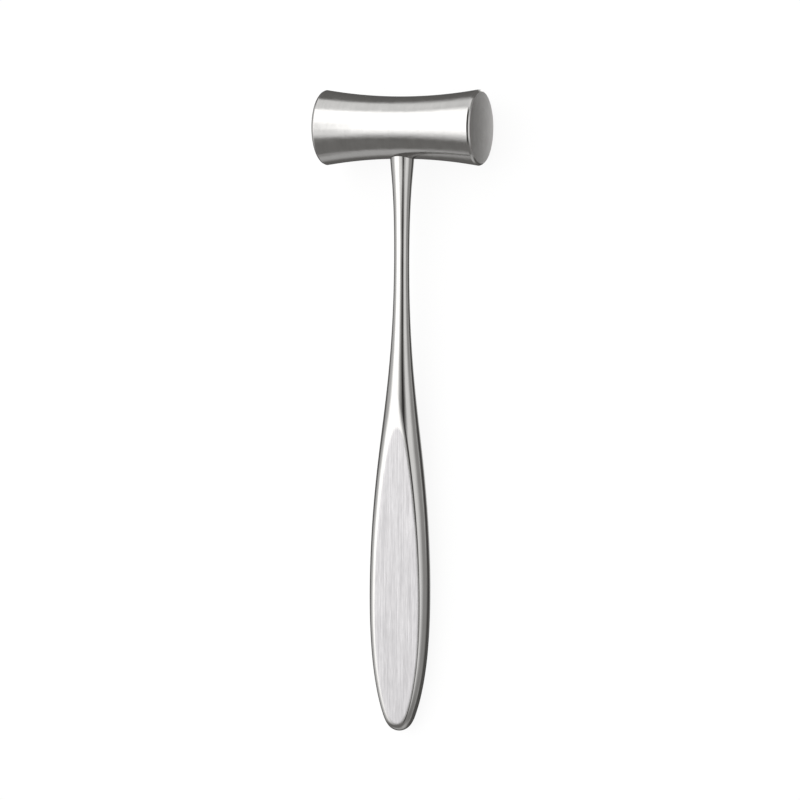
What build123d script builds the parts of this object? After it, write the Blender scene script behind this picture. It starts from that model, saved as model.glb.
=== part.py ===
from build123d import *
import math
import os

# Surgical mallet: a waisted, bevelled steel head on a one-piece steel handle.
# Millimetres, +Z up. The mallet lies as it comes to rest, on both rims of the
# head and on the underside of the grip near its butt end. The head's axis is
# along X, the handle points towards -Y and slopes down by REST_TILT.
# Origin: centre of the bounding box in X and Y, on the surface it lies on.

# ---- head -----------------------------------------------------------------
RIM_SPACING = 55.0       # along the head, between the two largest diameters
RIM_DIA = 25.6           # largest diameter, where barrel meets bevel
WAIST_DIA = 21.1         # smallest diameter, half way along
OUTER_FACET = 25.0       # the bevel's first facet, degrees to the head's axis
INNER_FACET = 49.0       # its second facet, next to the striking face
FACET_WIDTH = 0.62       # of each facet
FACE_CROWN_R = 150.0     # the striking faces are very slightly domed

# ---- handle ---------------------------------------------------------------
SOCKET_DIA = 8.22        # blind bore in the head and tenon of the handle
SOCKET_BOTTOM = 3.0      # the bore ends this far past the head's axis
NECK_START = 10.65       # where the tenon ends and the neck begins
FLAT_TIP = 99.0          # distance of the grip flats' pointed end
FLAT_TIP_HALF = 5.51     # half thickness over the flats at FLAT_TIP
FLAT_TAPER = 0.0142      # the flats close in by this much per millimetre

# Stations of the handle: distance from the head's axis, half width (along
# the head's axis) and half thickness (square to it) of the oval section.
# The neck is round, the grip is oval before its two flats are ground.
STATIONS = [
    (10.65, 4.110, 4.110),
    (14.0, 3.830, 3.830),
    (18.0, 3.475, 3.475),
    (22.0, 3.190, 3.190),
    (27.0, 2.925, 2.925),
    (33.0, 2.733, 2.733),
    (40.0, 2.630, 2.630),
    (48.0, 2.630, 2.630),
    (56.0, 2.756, 2.756),
    (64.0, 3.024, 3.024),
    (72.0, 3.444, 3.444),
    (80.0, 4.033, 4.006),
    (87.0, 4.695, 4.552),
    (94.0, 5.471, 5.163),
    (101.0, 6.319, 5.814),
    (108.0, 7.189, 6.437),
    (116.0, 8.154, 6.923),
    (125.0, 9.104, 7.290),
    (134.0, 9.853, 7.535),
    (143.0, 10.379, 7.710),
    (152.0, 10.687, 7.778),
    (161.0, 10.761, 7.800),
    (170.0, 10.564, 7.727),
    (178.0, 10.086, 7.560),
    (185.0, 9.348, 7.276),
    (190.0, 8.577, 6.957),
    (194.0, 7.774, 6.631),
    (197.5, 6.909, 6.244),
    (200.0, 6.159, 5.850),
    (202.0, 5.489, 5.350),
    (203.5, 4.868, 4.830),
    (204.8, 4.120, 4.110),
    (205.8, 3.270, 3.269),
    (206.5, 2.373, 2.372),
    (206.9, 1.557, 1.556),
    (207.12, 0.832, 0.831),
]
BUTT = STATIONS[-1][0]

# ---- how it lies ------------------------------------------------------------
# The rims touch the surface, and so does the lower end of the rear flat.
CONTACT = 204.9
CONTACT_HALF = FLAT_TIP_HALF - FLAT_TAPER * (CONTACT - FLAT_TIP)
REST_TILT = math.asin(
    RIM_DIA / 2 / math.hypot(CONTACT, CONTACT_HALF)
) - math.atan2(CONTACT_HALF, CONTACT)
HEAD_Z = RIM_DIA / 2
HEAD_Y = (BUTT * math.cos(REST_TILT) - RIM_DIA / 2) / 2

# Directions of the lying mallet: along the handle, and out of its upper flat.
ALONG = Vector(0, -math.cos(REST_TILT), -math.sin(REST_TILT))
UPPER = Vector(0, -math.sin(REST_TILT), math.cos(REST_TILT))
HEAD_CENTRE = Vector(0, HEAD_Y, HEAD_Z)


def across(distance):
    """The plane square to the handle at a distance from the head's axis."""
    return Plane(
        origin=HEAD_CENTRE + ALONG * distance, x_dir=Vector(1, 0, 0), z_dir=ALONG
    )


# Seen from the side: x runs along the handle, y out of the upper flat.
SIDE = Plane(origin=HEAD_CENTRE, x_dir=ALONG, z_dir=ALONG.cross(UPPER))
# Half section of the head: x runs along the head, y away from its axis.
PROFILE = Plane(origin=HEAD_CENTRE, x_dir=Vector(1, 0, 0), z_dir=ALONG)


# ---- head: turned barrel, concave between two rims, with a blind bore --------
# Each end has a bevel of two narrow facets round a slightly domed face.
rim = RIM_SPACING / 2
fold = rim + FACET_WIDTH * math.cos(math.radians(OUTER_FACET))
fold_r = RIM_DIA / 2 - FACET_WIDTH * math.sin(math.radians(OUTER_FACET))
edge = fold + FACET_WIDTH * math.cos(math.radians(INNER_FACET))
face_r = fold_r - FACET_WIDTH * math.sin(math.radians(INNER_FACET))
crown = FACE_CROWN_R - math.sqrt(FACE_CROWN_R**2 - face_r**2)
crown_mid_r = face_r / 2
crown_mid = crown - (FACE_CROWN_R - math.sqrt(FACE_CROWN_R**2 - crown_mid_r**2))

with BuildPart() as head:
    with BuildSketch(PROFILE):
        with BuildLine():
            Polyline((-edge - crown, 0), (edge + crown, 0))
            ThreePointArc(
                (edge + crown, 0), (edge + crown_mid, crown_mid_r), (edge, face_r)
            )
            Polyline((edge, face_r), (fold, fold_r), (rim, RIM_DIA / 2))
            ThreePointArc((rim, RIM_DIA / 2), (0, WAIST_DIA / 2), (-rim, RIM_DIA / 2))
            Polyline((-rim, RIM_DIA / 2), (-fold, fold_r), (-edge, face_r))
            ThreePointArc(
                (-edge, face_r), (-edge - crown_mid, crown_mid_r), (-edge - crown, 0)
            )
        make_face()
    revolve(axis=Axis(HEAD_CENTRE, (1, 0, 0)), revolution_arc=360)
    with BuildSketch(across(-SOCKET_BOTTOM)):
        Circle(SOCKET_DIA / 2)
    extrude(amount=RIM_DIA, mode=Mode.SUBTRACT)
head.part.label = "head"

# ---- handle: round neck, oval grip with two ground flats, and a tenon --------
with BuildPart() as handle:
    for distance, half_width, half_thickness in STATIONS:
        with BuildSketch(across(distance)):
            # turned a quarter, so that the loft's seam runs where the flats are ground
            Ellipse(half_thickness, half_width, rotation=90)
    loft()
    # the two flats close in towards the butt
    with BuildSketch(SIDE):
        with BuildLine():
            start, end = -10.0, BUTT + 5.0
            start_half = FLAT_TIP_HALF - FLAT_TAPER * (start - FLAT_TIP)
            end_half = FLAT_TIP_HALF - FLAT_TAPER * (end - FLAT_TIP)
            Polyline(
                (start, -start_half),
                (end, -end_half),
                (end, end_half),
                (start, start_half),
                close=True,
            )
        make_face()
    extrude(amount=20.0, both=True, mode=Mode.INTERSECT)
    # the tenon that fills the head's blind bore
    with BuildSketch(across(-SOCKET_BOTTOM)):
        Circle(SOCKET_DIA / 2)
    extrude(amount=SOCKET_BOTTOM + NECK_START)
handle.part.label = "handle"

os.makedirs("parts", exist_ok=True)
for piece in (head, handle):
    export_step(piece.part, f"parts/{piece.part.label}.step")

print("rest tilt, degrees", round(math.degrees(REST_TILT), 3))
for piece in (head, handle):
    box = piece.part.bounding_box()
    print(piece.part.label, "volume", round(piece.part.volume), box.min, box.max)
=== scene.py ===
"""Looks of the surgical mallet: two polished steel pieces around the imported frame."""

import math

import bpy
import numpy as np
from mathutils import Matrix


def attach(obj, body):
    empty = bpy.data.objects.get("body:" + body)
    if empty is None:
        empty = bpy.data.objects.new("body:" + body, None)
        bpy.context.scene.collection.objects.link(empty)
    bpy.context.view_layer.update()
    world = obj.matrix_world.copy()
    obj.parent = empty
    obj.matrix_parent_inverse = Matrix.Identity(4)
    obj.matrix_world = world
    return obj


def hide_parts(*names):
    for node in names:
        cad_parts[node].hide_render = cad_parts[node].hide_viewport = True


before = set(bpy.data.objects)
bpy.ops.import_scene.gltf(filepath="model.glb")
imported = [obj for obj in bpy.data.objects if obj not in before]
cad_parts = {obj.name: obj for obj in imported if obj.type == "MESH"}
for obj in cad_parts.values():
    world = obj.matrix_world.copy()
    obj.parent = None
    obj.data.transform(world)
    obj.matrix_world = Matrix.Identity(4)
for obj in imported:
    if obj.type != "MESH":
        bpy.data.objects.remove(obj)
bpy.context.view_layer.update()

MM = 0.001

# ---- dimensions, mm, the same as the frame's ---------------------------------
RIM_SPACING = 55.0
RIM_DIA = 25.6
WAIST_DIA = 21.1
FACETS = (25.0, 49.0)  # the bevel's two facets, degrees to the head's axis
FACET_WIDTH = 0.62
FACE_CROWN_R = 150.0
RIM_ROUND = 0.30
FACE_ROUND = 0.22
SOCKET_DIA = 8.22
SOCKET_BOTTOM = 3.0
NECK_START = 10.65
FLAT_TIP = 99.0
FLAT_TIP_HALF = 5.51
FLAT_TAPER = 0.0142
FLAT_SOFT = (1.20, 0.52)  # how far the flats' edges are rounded, left and right
BUTT = 207.12
# (distance from the head's axis, half width, half thickness)
STATIONS = [
    (10.65, 4.110, 4.110), (14.0, 3.830, 3.830), (18.0, 3.475, 3.475),
    (22.0, 3.190, 3.190), (27.0, 2.925, 2.925), (33.0, 2.733, 2.733),
    (40.0, 2.630, 2.630), (48.0, 2.630, 2.630), (56.0, 2.756, 2.756),
    (64.0, 3.024, 3.024), (72.0, 3.444, 3.444), (80.0, 4.033, 4.006),
    (87.0, 4.695, 4.552), (94.0, 5.471, 5.163), (101.0, 6.319, 5.814),
    (108.0, 7.189, 6.437), (116.0, 8.154, 6.923), (125.0, 9.104, 7.290),
    (134.0, 9.853, 7.535), (143.0, 10.379, 7.710), (152.0, 10.687, 7.778),
    (161.0, 10.761, 7.800), (170.0, 10.564, 7.727), (178.0, 10.086, 7.560),
    (185.0, 9.348, 7.276), (190.0, 8.577, 6.957), (194.0, 7.774, 6.631),
    (197.5, 6.909, 6.244), (200.0, 6.159, 5.850), (202.0, 5.489, 5.350),
    (203.5, 4.868, 4.830), (204.8, 4.120, 4.110), (205.8, 3.270, 3.269),
    (207.12, 0.0, 0.0),
]

CONTACT = 204.9
CONTACT_HALF = FLAT_TIP_HALF - FLAT_TAPER * (CONTACT - FLAT_TIP)
RIM = RIM_DIA / 2
REST_TILT = math.asin(RIM / math.hypot(CONTACT, CONTACT_HALF)) - math.atan2(
    CONTACT_HALF, CONTACT
)
HEAD_Y = (BUTT * math.cos(REST_TILT) - RIM) / 2
COS, SIN = math.cos(REST_TILT), math.sin(REST_TILT)
CENTRE = np.array((0.0, HEAD_Y, RIM))
ALONG = np.array((0.0, -COS, -SIN))  # from the head towards the butt
SIDE = np.array((1.0, 0.0, 0.0))  # along the head's axis
UPPER = np.array((0.0, -SIN, COS))  # out of the upper flat


def mesh_object(name, points, faces, normals=None):
    """A smooth mesh from points in mm, with its normals given point by point."""
    mesh = bpy.data.meshes.new(name)
    mesh.from_pydata([tuple(p) for p in np.asarray(points) * MM], [], faces)
    mesh.validate()
    mesh.update()
    mesh.polygons.foreach_set("use_smooth", [True] * len(mesh.polygons))
    if normals is not None:
        mesh.normals_split_custom_set_from_vertices([tuple(n) for n in normals])
    piece = bpy.data.objects.new(name, mesh)
    bpy.context.scene.collection.objects.link(piece)
    return piece


# ---- head --------------------------------------------------------------------
def rounded(corner, before, after, radius, steps):
    """Points and normals of an arc that rounds the corner between two directions."""
    a, b = np.array(before, float), np.array(after, float)
    a, b = a / np.linalg.norm(a), b / np.linalg.norm(b)
    turn = math.acos(float(np.clip(a @ b, -1, 1)))
    reach = radius * math.tan(turn / 2)
    inward = b - a
    inward /= np.linalg.norm(inward)
    middle = np.array(corner) + inward * radius / math.cos(turn / 2)
    start = np.array(corner) - a * reach
    out = []
    first = (start - middle) / radius
    side = first[0] * b[1] - first[1] * b[0]
    sign = 1.0 if side > 0 else -1.0
    for i in range(steps + 1):
        angle = sign * turn * i / steps
        c, s = math.cos(angle), math.sin(angle)
        n = np.array((c * first[0] - s * first[1], s * first[0] + c * first[1]))
        out.append((middle + n * radius, n))
    return out


def head_profile():
    """(x, radius) and outward normals from the right face's middle to the waist."""
    rim_r, waist_r = RIM_DIA / 2, WAIST_DIA / 2
    rim_x = RIM_SPACING / 2
    sag = rim_r - waist_r
    barrel_r = (rim_x**2 + sag**2) / (2 * sag)
    barrel_c = waist_r + barrel_r
    # directions of travel, from the face's middle out to the rim and along the barrel
    steep = math.asin(rim_x / barrel_r)
    on_barrel = (-math.cos(steep), -math.sin(steep))
    corners, ways = [np.array((rim_x, rim_r))], [on_barrel]
    for turn in FACETS:
        turn = math.radians(turn)
        ways.append((-math.cos(turn), math.sin(turn)))
        corners.append(corners[-1] - np.array(ways[-1]) * FACET_WIDTH)
    face_x, face_r = corners[-1]
    crown = math.asin(face_r / FACE_CROWN_R)
    crown_c = face_x - FACE_CROWN_R * math.cos(crown)
    ways.append((-math.sin(crown), math.cos(crown)))
    corners.reverse()
    ways.reverse()
    arcs = []
    for i, corner in enumerate(corners):
        first = i == 0
        arcs.append(
            rounded(corner, ways[i], ways[i + 1], FACE_ROUND if first else RIM_ROUND, 8 if first else 10)
        )
    line = []
    edge_r = arcs[0][0][0][1]
    for t in np.linspace(0, 1, 22)[:-1]:
        r = edge_r * t
        a = math.asin(r / FACE_CROWN_R)
        line.append(
            ((crown_c + FACE_CROWN_R * math.cos(a), r), (math.cos(a), math.sin(a)))
        )
    for i, arc in enumerate(arcs):
        line += arc
        if i + 1 < len(arcs):
            a, b = arc[-1], arcs[i + 1][0]
            line += [(a[0] + (b[0] - a[0]) * t, a[1]) for t in (0.33, 0.67)]
    start_x = line[-1][0][0]
    for x in np.linspace(start_x, 0, 46)[1:]:
        a = math.asin(x / barrel_r)
        line.append(
            ((x, barrel_c - barrel_r * math.cos(a)), (-math.sin(a), math.cos(a)))
        )
    return line


def make_head():
    right = head_profile()
    left = [((-p[0], p[1]), (-n[0], n[1])) for p, n in reversed(right[:-1])]
    line = right + left
    around = 256
    points, normals, faces = [], [], []
    for (x, r), (nx, nr) in line:
        if r < 1e-9:
            points.append(CENTRE + SIDE * x)
            normals.append(SIDE * np.sign(nx))
            continue
        for i in range(around):
            angle = 2 * math.pi * i / around
            out = UPPER * math.cos(angle) - ALONG * math.sin(angle)
            points.append(CENTRE + SIDE * x + out * r)
            normals.append(SIDE * nx + out * nr)
    rings = len(line) - 2
    start = lambda k: 1 + k * around
    for i in range(around):
        j = (i + 1) % around
        faces.append((0, start(0) + j, start(0) + i))
        for k in range(rings - 1):
            faces.append(
                (start(k) + i, start(k) + j, start(k + 1) + j, start(k + 1) + i)
            )
        last = start(rings - 1)
        faces.append((last + i, last + j, start(rings)))
    piece = mesh_object("mallet_head", points, faces, normals)
    return piece


# ---- handle ------------------------------------------------------------------
class Spline:
    """A natural cubic spline through given points."""

    def __init__(self, x, y):
        self.x, self.y = np.array(x, float), np.array(y, float)
        n = len(self.x)
        h = np.diff(self.x)
        m = np.zeros((n, n))
        rhs = np.zeros(n)
        m[0, 0] = m[-1, -1] = 1.0
        for i in range(1, n - 1):
            m[i, i - 1], m[i, i], m[i, i + 1] = h[i - 1], 2 * (h[i - 1] + h[i]), h[i]
            rhs[i] = 6 * (
                (self.y[i + 1] - self.y[i]) / h[i]
                - (self.y[i] - self.y[i - 1]) / h[i - 1]
            )
        self.m = np.linalg.solve(m, rhs)
        self.h = h

    def __call__(self, at):
        at = np.asarray(at, float)
        i = np.clip(np.searchsorted(self.x, at) - 1, 0, len(self.h) - 1)
        h, a, b = self.h[i], self.x[i + 1] - at, at - self.x[i]
        return (
            (self.m[i] * a**3 + self.m[i + 1] * b**3) / (6 * h)
            + (self.y[i] / h - self.m[i] * h / 6) * a
            + (self.y[i + 1] / h - self.m[i + 1] * h / 6) * b
        )


SECTION = np.array(STATIONS)
WIDE2 = Spline(SECTION[:, 0], SECTION[:, 1] ** 2)
THICK2 = Spline(SECTION[:, 0], SECTION[:, 2] ** 2)


def half_sizes(s):
    """Half width and half thickness at a distance from the head's axis."""
    s = np.asarray(s, float)
    w = np.sqrt(np.maximum(WIDE2(np.maximum(s, SECTION[0, 0])), 1e-12))
    t = np.sqrt(np.maximum(THICK2(np.maximum(s, SECTION[0, 0])), 1e-12))
    # the neck's flare runs on into the head's socket
    over = np.maximum(SECTION[0, 0] - s, 0) * 0.0836
    return w + over, t + over


def surface(x, z, s):
    """Below zero inside the handle, with the flats' edges softened; also flat minus oval."""
    a, b = half_sizes(s)
    g = np.sqrt((x / a) ** 2 + (z / b) ** 2) + 1e-12
    oval = g * (g - 1) / np.sqrt(x**2 / a**4 + z**2 / b**4 + 1e-18)
    flat = np.abs(z) - (FLAT_TIP_HALF - FLAT_TAPER * (s - FLAT_TIP))
    left, right = FLAT_SOFT
    soft = right + (left - right) * (0.5 - 0.5 * np.tanh(x / 2.5))
    near = np.maximum(soft - np.abs(oval - flat), 0)
    return np.maximum(oval, flat) + near**2 / (4 * soft), flat - oval


def ring(s, count):
    """Points of one section, closer together where it bends more."""
    many = 1440
    angle = 2 * math.pi * np.arange(many) / many
    c, d = np.cos(angle), np.sin(angle)
    a, b = half_sizes(s)
    low, high = np.zeros(many), np.full(many, 1.5 * float(max(a, b)))
    low += 0.2 * float(min(a, b))
    for _ in range(46):
        mid = (low + high) / 2
        inside = surface(c * mid, d * mid, s)[0] < 0
        low, high = np.where(inside, mid, low), np.where(inside, high, mid)
    x, z = c * low, d * low
    dx, dz = np.roll(x, -1) - x, np.roll(z, -1) - z
    step = np.hypot(dx, dz)
    heading = np.unwrap(np.arctan2(dz, dx))
    bend = np.abs(np.diff(heading, append=heading[0] + 2 * math.pi))
    size = step.sum() / (2 * math.pi)
    weight = step + 0.75 * size * (bend + np.roll(bend, 1)) / 2
    # even the weights out a little, so that neighbouring rings agree
    kernel = np.hanning(41)
    kernel /= kernel.sum()
    weight = np.real(
        np.fft.ifft(
            np.fft.fft(weight)
            * np.fft.fft(np.roll(np.pad(kernel, (0, many - 41)), -20))
        )
    )
    total = np.concatenate(([0], np.cumsum(weight)))
    want = total[-1] * np.arange(count) / count
    at = np.interp(want, total, np.arange(many + 1))
    theta = 2 * math.pi * at / many
    c, d = np.cos(theta), np.sin(theta)
    low, high = (
        np.full(count, 0.2 * float(min(a, b))),
        np.full(count, 1.5 * float(max(a, b))),
    )
    for _ in range(46):
        mid = (low + high) / 2
        inside = surface(c * mid, d * mid, s)[0] < 0
        low, high = np.where(inside, mid, low), np.where(inside, high, mid)
    return c * low, d * low


def make_handle():
    around = 208
    neck = np.linspace(9.45, 60, 90)
    grip = np.linspace(60, 196, 260)[1:]
    t = np.linspace(0, 1, 62)[1:-1]
    butt = 196 + (BUTT - 196) * np.sin(t * math.pi / 2)
    stations = np.concatenate((neck, grip, butt))
    points, normals, mask, faces = [], [], [], []
    tenon = SOCKET_DIA / 2 - 0.02
    for s, r in ((-SOCKET_BOTTOM, tenon - 0.3), (-SOCKET_BOTTOM + 0.3, tenon), (9.4, tenon)):
        angle = 2 * math.pi * np.arange(around) / around
        for q in angle:
            out = SIDE * math.cos(q) + UPPER * math.sin(q)
            points.append(CENTRE + ALONG * s + out * r)
            normals.append(out)
            mask.append(0.0)
    tiny = 1e-3
    for s in stations:
        x, z = ring(s, around)
        value = lambda dx, dz, ds: surface(x + dx, z + dz, s + ds)[0]
        nx = value(tiny, 0, 0) - value(-tiny, 0, 0)
        nz = value(0, tiny, 0) - value(0, -tiny, 0)
        ns = value(0, 0, tiny) - value(0, 0, -tiny)
        n = nx[:, None] * SIDE + nz[:, None] * UPPER + ns[:, None] * ALONG
        n /= np.linalg.norm(n, axis=1)[:, None]
        points += list(CENTRE + ALONG * s + x[:, None] * SIDE + z[:, None] * UPPER)
        normals += list(n)
        excess = surface(x, z, s)[1]
        # the polish runs a little way onto the flats at their left edge
        onto = 0.5 - 0.5 * np.tanh(x / 2.5)
        low, high = 0.02 + 0.23 * onto, 0.34 + 0.81 * onto
        mask += list(np.clip((excess - low) / (high - low), 0, 1))
    rows = len(points) // around
    top, end = len(points), len(points) + 1
    points += [CENTRE - ALONG * SOCKET_BOTTOM, CENTRE + ALONG * BUTT]
    normals += [-ALONG, ALONG]
    mask += [0.0, 0.0]
    for i in range(around):
        j = (i + 1) % around
        faces.append((top, j, i))
        for k in range(rows - 1):
            a, b = k * around, (k + 1) * around
            faces.append((a + i, a + j, b + j, b + i))
        last = (rows - 1) * around
        faces.append((last + i, last + j, end))
    piece = mesh_object("mallet_handle", points, faces, normals)
    held = piece.data.attributes.new("flat_mask", "FLOAT", "POINT")
    held.data.foreach_set("value", np.array(mask, np.float32))
    return piece


head = make_head()
handle = make_handle()


# ---- materials ---------------------------------------------------------------
class Nodes:
    """Short calls to lay nodes out in a tree."""

    def __init__(self, tree):
        self.tree = tree
        tree.nodes.clear()

    def add(self, kind, **settings):
        node = self.tree.nodes.new(kind)
        for name, value in settings.items():
            setattr(node, name, value)
        return node

    def link(self, source, target):
        self.tree.links.new(source, target)

    def put(self, socket, value):
        if hasattr(value, "is_output"):
            self.link(value, socket)
        else:
            socket.default_value = value

    def math(self, operation, *values, clamp=False):
        node = self.add("ShaderNodeMath", operation=operation, use_clamp=clamp)
        for socket, value in zip(node.inputs, values):
            self.put(socket, value)
        return node.outputs[0]

    def ramp(self, value, low, high, to_low=0.0, to_high=1.0, kind="SMOOTHSTEP"):
        node = self.add("ShaderNodeMapRange", interpolation_type=kind)
        for socket, v in zip(node.inputs, (value, low, high, to_low, to_high)):
            self.put(socket, v)
        return node.outputs[0]

    def dot(self, vector, constant):
        node = self.add("ShaderNodeVectorMath", operation="DOT_PRODUCT")
        self.put(node.inputs[0], vector)
        node.inputs[1].default_value = tuple(constant)
        return node.outputs["Value"]

    def mix(self, factor, a, b):
        """a where factor is 0, b where it is 1."""
        node = self.add("ShaderNodeMix", data_type="FLOAT")
        self.put(node.inputs[0], factor)
        self.put(node.inputs[2], a)
        self.put(node.inputs[3], b)
        return node.outputs[0]

    def colour(self, factor, a, b):
        node = self.add("ShaderNodeMix", data_type="RGBA")
        self.put(node.inputs[0], factor)
        self.put(node.inputs[6], a)
        self.put(node.inputs[7], b)
        return node.outputs[2]

    def noise(self, vector, scale, detail=2.0, rough=0.5):
        node = self.add("ShaderNodeTexNoise", noise_dimensions="3D")
        self.put(node.inputs["Vector"], vector)
        node.inputs["Scale"].default_value = scale
        node.inputs["Detail"].default_value = detail
        node.inputs["Roughness"].default_value = rough
        return node.outputs[0]

    def joined(self, x, y, z):
        node = self.add("ShaderNodeCombineXYZ")
        for socket, value in zip(node.inputs, (x, y, z)):
            self.put(socket, value)
        return node.outputs[0]

    def bump(self, height, distance, strength=1.0, normal=None):
        node = self.add("ShaderNodeBump")
        node.inputs["Strength"].default_value = strength
        node.inputs["Distance"].default_value = distance
        self.put(node.inputs["Height"], height)
        if normal is not None:
            self.link(normal, node.inputs["Normal"])
        return node.outputs[0]


def held_place(n):
    """The place in mm on the mallet's own axes: along the head, up the handle, out of the flat."""
    place = n.add("ShaderNodeTexCoord").outputs["Object"]
    to = n.add("ShaderNodeVectorMath", operation="SUBTRACT")
    n.link(place, to.inputs[0])
    to.inputs[1].default_value = tuple(CENTRE * MM)
    x, y, z = (n.dot(to.outputs[0], v / MM) for v in (SIDE, ALONG, UPPER))
    return x, y, z


# polished steel reflects less just before the grazing view than a plain mirror would
EDGE_TINT = {"head": (0.75, 0.75, 0.75, 1), "handle": (0.55, 0.55, 0.55, 1)}


def head_material():
    material = bpy.data.materials.new("turned_polished_steel")
    material.use_nodes = True
    n = Nodes(material.node_tree)
    x, y, z = held_place(n)
    radius = n.math("SQRT", n.math("ADD", n.math("MULTIPLY", y, y), n.math("MULTIPLY", z, z)))
    # turning marks run round the barrel, and in rings on the striking faces
    rings = n.joined(x, n.math("MULTIPLY", y, 0.05), n.math("MULTIPLY", z, 0.05))
    fine = n.noise(rings, 3.2, 3.0, 0.65)
    broad = n.noise(rings, 0.55, 2.0, 0.5)
    cloud = n.noise(n.joined(x, y, z), 0.28, 3.0, 0.55)
    on_face = n.ramp(n.math("ABSOLUTE", x), RIM_SPACING / 2 + 0.90, RIM_SPACING / 2 + 0.98)
    spun = n.noise(n.joined(radius, n.math("MULTIPLY", y, 0.03), n.math("MULTIPLY", z, 0.03)), 3.0, 2.0, 0.5)
    marks = n.mix(on_face, fine, spun)
    tone = n.math("ADD", n.math("MULTIPLY", marks, 0.5), n.math("MULTIPLY", cloud, 0.5))
    shader = n.add("ShaderNodeBsdfPrincipled")
    barrel = n.colour(n.ramp(tone, 0.3, 0.7), (0.668, 0.662, 0.652, 1), (0.735, 0.729, 0.720, 1))
    # the striking faces are a little matter than the barrel; their paler colour is painted light, a painted brightening
    # of the faces' reflection
    face_painted_paler = n.colour(n.ramp(tone, 0.3, 0.7), (0.790, 0.783, 0.772, 1), (0.880, 0.873, 0.864, 1))
    n.put(shader.inputs["Base Color"], n.colour(on_face, barrel, face_painted_paler))
    shader.inputs["Metallic"].default_value = 1.0
    rough = n.mix(on_face, n.ramp(cloud, 0.3, 0.7, 0.12, 0.18), 0.34)
    n.put(shader.inputs["Roughness"], n.math("ADD", rough, n.math("MULTIPLY", n.math("SUBTRACT", fine, 0.5), 0.08)))
    shader.inputs["Specular Tint"].default_value = EDGE_TINT["head"]
    height = n.math("ADD", n.math("MULTIPLY", marks, 0.35), n.math("MULTIPLY", broad, 1.0))
    # the hand polish leaves it very slightly wavy
    wave = n.noise(n.joined(n.math("MULTIPLY", x, 0.55), y, z), 0.55, 4.0, 0.6)
    first = n.bump(height, 0.000012)
    n.link(n.bump(wave, 0.000035, normal=first), shader.inputs["Normal"])
    out = n.add("ShaderNodeOutputMaterial")
    n.link(shader.outputs[0], out.inputs["Surface"])
    return material


def handle_material():
    material = bpy.data.materials.new("ground_polished_steel")
    material.use_nodes = True
    n = Nodes(material.node_tree)
    x, s, z = held_place(n)
    flat = n.add("ShaderNodeAttribute", attribute_name="flat_mask").outputs["Fac"]
    flat = n.ramp(flat, 0.25, 0.75)
    # grinding lines run along the flats
    lines = n.joined(x, n.math("MULTIPLY", s, 0.022), n.math("MULTIPLY", z, 0.2))
    grain = n.noise(lines, 2.6, 2.0, 0.6)
    hair = n.noise(n.joined(x, n.math("MULTIPLY", s, 0.05), 0.0), 5.0, 2.0, 0.6)
    # polishing marks run along the round parts too, much fainter
    sweep = n.noise(n.joined(x, n.math("MULTIPLY", s, 0.06), z), 1.1, 3.0, 0.55)
    cloud = n.noise(n.joined(x, n.math("MULTIPLY", s, 0.35), z), 0.35, 3.0, 0.55)
    line = n.math("ADD", n.math("MULTIPLY", grain, 0.6), n.math("MULTIPLY", hair, 0.4))
    shader = n.add("ShaderNodeBsdfPrincipled")
    polished = n.colour(n.ramp(n.math("ADD", n.math("MULTIPLY", sweep, 0.5), n.math("MULTIPLY", cloud, 0.5)), 0.3, 0.7),
                        (0.676, 0.668, 0.656, 1), (0.732, 0.725, 0.715, 1))
    brushed = n.colour(n.ramp(line, 0.32, 0.68), (0.484, 0.475, 0.486, 1), (0.640, 0.630, 0.641, 1))
    n.put(shader.inputs["Base Color"], n.colour(flat, polished, brushed))
    shader.inputs["Metallic"].default_value = 1.0
    smooth = n.ramp(cloud, 0.3, 0.7, 0.08, 0.13)
    coarse = n.ramp(line, 0.3, 0.7, 0.34, 0.27)
    n.put(shader.inputs["Roughness"], n.mix(flat, smooth, coarse))
    shader.inputs["Specular Tint"].default_value = EDGE_TINT["handle"]
    first = n.bump(n.math("MULTIPLY", sweep, 1.0), 0.000012)
    second = n.bump(n.math("MULTIPLY", n.math("MULTIPLY", line, flat), 1.0), 0.000030, normal=first)
    n.link(second, shader.inputs["Normal"])
    out = n.add("ShaderNodeOutputMaterial")
    n.link(shader.outputs[0], out.inputs["Surface"])
    return material


head.data.materials.append(head_material())
handle.data.materials.append(handle_material())
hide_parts("head")
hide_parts("handle")
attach(head, "root")
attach(handle, "root")

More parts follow.
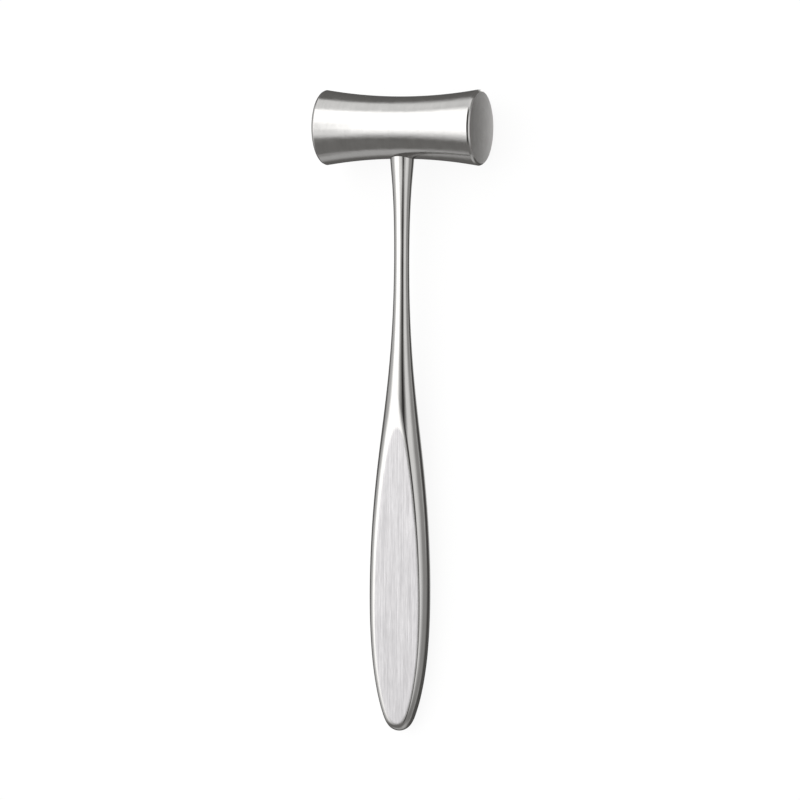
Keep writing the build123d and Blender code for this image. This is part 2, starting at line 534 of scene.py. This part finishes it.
# ---- studio ------------------------------------------------------------------
# Soft boxes and flags round the mallet, as (turn about the handle from, to, softness of each edge; height along the
# handle from, to, softness of each edge; light), in degrees. A later one covers an earlier one.
PANELS = [
    # overhead fill
    (-116, 116, 22, 22, 48, 120, 10, 10, 0.82),
    # spill at the left, between key and flag, and shelf at the right
    (-108, -40, 16, 10, -30, 54, 14, 10, 0.56),
    (-10, 40, 10, 10, -30, 54, 14, 10, 0.38),
    (60, 124, 10, 8, -32, 56, 14, 10, 0.31),
    # key light
    (-62, -2, 15, 14, -22, 52, 20, 6, 1.60),
    (-34, 5, 8, 9, 14, 56, 6, 5, 1.60),
    # its lower corner at the right falls off more slowly
    (-11.5, 45, 3.5, 10, -26, -7, 12, 3, 0.92),
    (-11.5, 45, 3.5, 10, -58, -36, 8, 8, 0.24),
    # right box
    (50, 86, 9, 13, -30, 54, 14, 12, 0.86),
    # flag round the camera
    (20, 40, 10, 8, -60, 60, 12, 14, 0.02),
    # dark behind, at the right and left
    (134, 151, 8, 6, -60, 16, 10, 6, 0.05),
    (142, 400, 8, 10, -60, -11, 10, 3, 0.12),
    (-138, -108, 10, 12, -40, 40, 10, 10, 0.19),
    # under-front dark, and a dim spill past its right side
    (-84, 90, 12, 12, -120, -44, 9, 9, 0.18),
    (56, 134, 12, 8, -60, -38, 12, 9, 0.26),
    # lower bounce behind
    (96, 400, 12, 10, -120, -52, 9, 10, 0.46),
    (-400, -86, 10, 14, -120, -52, 9, 10, 0.46),
    (96, 400, 12, 10, -120, -75, 9, 3, 0.32),
    (-400, -86, 10, 14, -120, -75, 9, 3, 0.32),
    # light behind, at the right
    (153, 400, 6, 10, -8, 26, 4, 8, 0.25),
    (171, 400, 10, 10, -8, 26, 4, 8, 1.75),
    (-400, -168, 10, 8, -8, 26, 4, 8, 1.75),
    # thin strips
    (118.5, 123.5, 2, 2, -5, 5, 3, 3, 0.55),
    (118.5, 123.5, 2, 2, -50, -20, 8, 4, 0.42),
]
SURROUND = 0.16


def make_world():
    world = bpy.data.worlds.new("studio")
    world.use_nodes = True
    n = Nodes(world.node_tree)
    way = n.add("ShaderNodeTexCoord").outputs["Generated"]
    u, v, w = (n.dot(way, d) for d in (SIDE, -ALONG, UPPER))
    turn = n.math("DEGREES", n.math("ARCTAN2", u, w))
    lift = n.math("DEGREES", n.math("ARCSINE", n.math("MINIMUM", n.math("MAXIMUM", v, -1.0), 1.0)))
    light = SURROUND
    for left, right, soft_l, soft_r, low, high, soft_b, soft_t, level in PANELS:
        parts = []
        if left > -400:
            parts.append(n.ramp(turn, left - soft_l, left + soft_l))
        if right < 400:
            parts.append(n.ramp(turn, right - soft_r, right + soft_r, 1.0, 0.0))
        if low > -120:
            parts.append(n.ramp(lift, low - soft_b, low + soft_b))
        if high < 120:
            parts.append(n.ramp(lift, high - soft_t, high + soft_t, 1.0, 0.0))
        cover = parts[0]
        for part in parts[1:]:
            cover = n.math("MULTIPLY", cover, part)
        light = n.mix(cover, light, level)
    studio = n.add("ShaderNodeBackground")
    # the dim parts of the room are a little warmer than the lights
    n.put(studio.inputs["Color"], n.colour(n.ramp(light, 0.04, 0.5), (1.0, 0.975, 0.940, 1), (1.0, 0.996, 0.990, 1)))
    n.put(studio.inputs["Strength"], light)
    plain = n.add("ShaderNodeBackground")
    plain.inputs["Color"].default_value = (1.0, 1.0, 1.0, 1)
    plain.inputs["Strength"].default_value = 0.96
    seen = n.add("ShaderNodeLightPath").outputs["Is Camera Ray"]
    both = n.add("ShaderNodeMixShader")
    n.link(seen, both.inputs[0])
    n.link(studio.outputs[0], both.inputs[1])
    n.link(plain.outputs[0], both.inputs[2])
    out = n.add("ShaderNodeOutputWorld")
    n.link(both.outputs[0], out.inputs["Surface"])
    bpy.context.scene.world = world


make_world()

# ---- floor -------------------------------------------------------------------
floor_mesh = bpy.data.meshes.new("floor")
reach = 9.0
floor_mesh.from_pydata(
    [(-reach, -reach, 0), (reach, -reach, 0), (reach, reach, 0), (-reach, reach, 0)],
    [], [(0, 1, 2, 3)])
floor = bpy.data.objects.new("floor", floor_mesh)
floor.location.z = -0.00002
bpy.context.scene.collection.objects.link(floor)
pale = bpy.data.materials.new("pale_floor")
pale.use_nodes = True
n = Nodes(pale.node_tree)
matt = n.add("ShaderNodeBsdfDiffuse")
matt.inputs["Color"].default_value = (0.16, 0.16, 0.16, 1)
glow = n.add("ShaderNodeEmission")
glow.inputs["Strength"].default_value = 0.90
add = n.add("ShaderNodeAddShader")
n.link(matt.outputs[0], add.inputs[0])
n.link(glow.outputs[0], add.inputs[1])
out = n.add("ShaderNodeOutputMaterial")
n.link(add.outputs[0], out.inputs["Surface"])
floor_mesh.materials.append(pale)
floor.visible_glossy = False

# ---- camera ------------------------------------------------------------------
# where the photograph was taken from, on the mallet's own axes (along the head, up the handle, out of the flat), mm
EYE = (355.48131838, -14.06676277, 929.78408662)
AXES = np.array((
    (0.93377045, -0.03310829, 0.35633775),
    (0.00527111, 0.99687575, 0.07880962),
    (-0.35783372, -0.07171180, 0.93102763),
))
HELD = np.column_stack((SIDE, -ALONG, UPPER))
camera_data = bpy.data.cameras.new("camera")
camera_data.sensor_width = 36.0
camera_data.lens = 36.0 * 2919.629 / 800.0
camera_data.clip_start = 0.01
camera_data.clip_end = 60.0
camera = bpy.data.objects.new("camera", camera_data)
turned = HELD @ AXES
place = (CENTRE + HELD @ np.array(EYE)) * MM
matrix = Matrix([[*turned[i], place[i]] for i in range(3)] + [[0, 0, 0, 1]])
camera.matrix_world = matrix
bpy.context.scene.collection.objects.link(camera)
bpy.context.scene.camera = camera

bpy.context.scene.view_settings.view_transform = "Standard"
bpy.context.scene.view_settings.look = "None"


def plain(box):
    return [[float(c) for c in corner] for corner in box]
